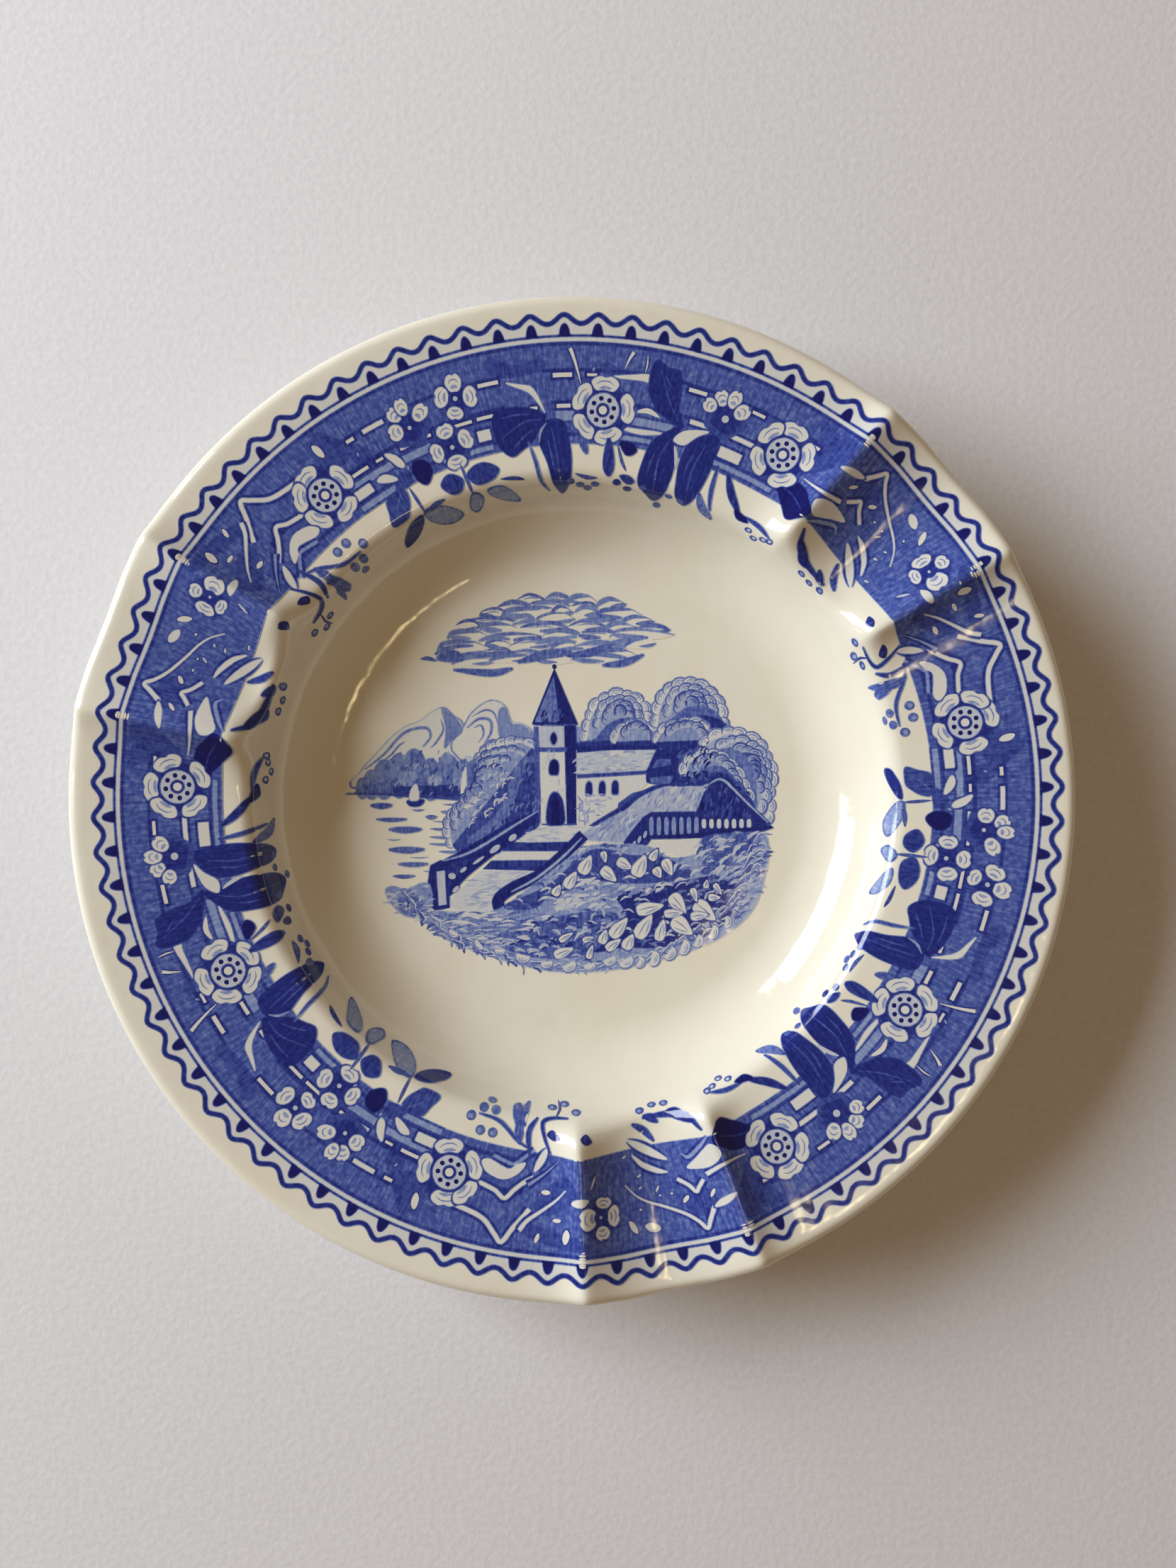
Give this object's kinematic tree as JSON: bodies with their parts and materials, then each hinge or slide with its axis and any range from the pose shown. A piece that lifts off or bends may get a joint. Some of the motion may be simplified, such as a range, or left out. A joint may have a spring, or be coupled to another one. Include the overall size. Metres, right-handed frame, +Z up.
{
  "type": "souvenir plate",
  "caption": "Small round glazed plate with a wide printed rim, a deep flat well and pressed smoker's rests in the rim; stands on a foot ring.",
  "frame": {"origin": "centre of the foot ring's resting plane, on the plate's axis", "axes": "+Z up out of the well, +Y towards the top of the centre scene, +X to the scene's right; the rests are at 40, 159 and 282 degrees from +X"},
  "size_m": [0.148, 0.1478, 0.023],
  "materials": {
    "glaze": "glossy ivory glaze over earthenware",
    "border_ink": "cobalt blue underglaze transfer print, glossy",
    "centre_ink": "cobalt blue underglaze transfer print, glossy"
  },
  "bodies": {
    "root": {"plate_body": "glaze", "centre_print": "centre_ink", "border_print_1": "border_ink", "border_print_2": "border_ink", "border_print_3": "border_ink"}
  },
  "joints": []
}
